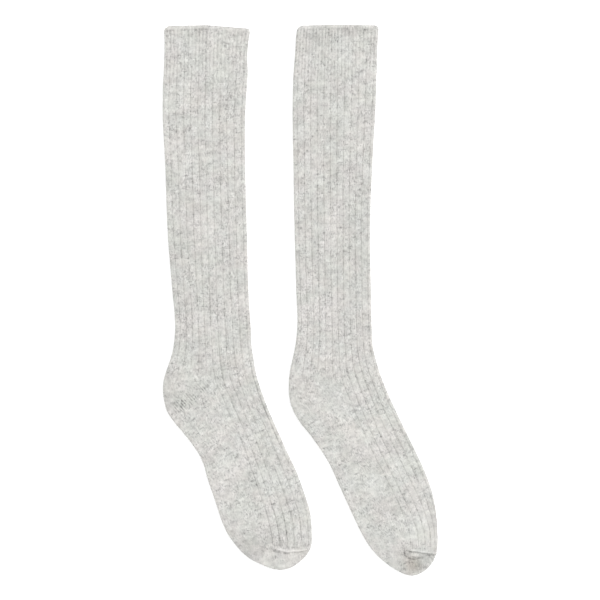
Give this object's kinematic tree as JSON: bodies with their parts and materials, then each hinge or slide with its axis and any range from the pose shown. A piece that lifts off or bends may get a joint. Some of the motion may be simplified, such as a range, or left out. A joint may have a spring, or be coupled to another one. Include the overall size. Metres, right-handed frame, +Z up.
{
  "type": "pair of ribbed knee socks",
  "caption": "Pair of long ribbed knit socks laid flat, with fine-ribbed cuffs, plain turned heels, ribbed insteps and seamed toes.",
  "frame": {"origin": "middle of the pair's footprint, on the surface that the socks lie on", "axes": "+Y from the toes towards the cuffs, +X across the pair, +Z up from the surface"},
  "size_m": [0.286, 0.5728, 0.0063],
  "materials": {
    "cashmere_knit": "soft brushed melange knit in very light warm grey, matt with a short fuzzy nap"
  },
  "bodies": {
    "root": {"sock_left": "cashmere_knit", "sock_right": "cashmere_knit"}
  },
  "joints": []
}
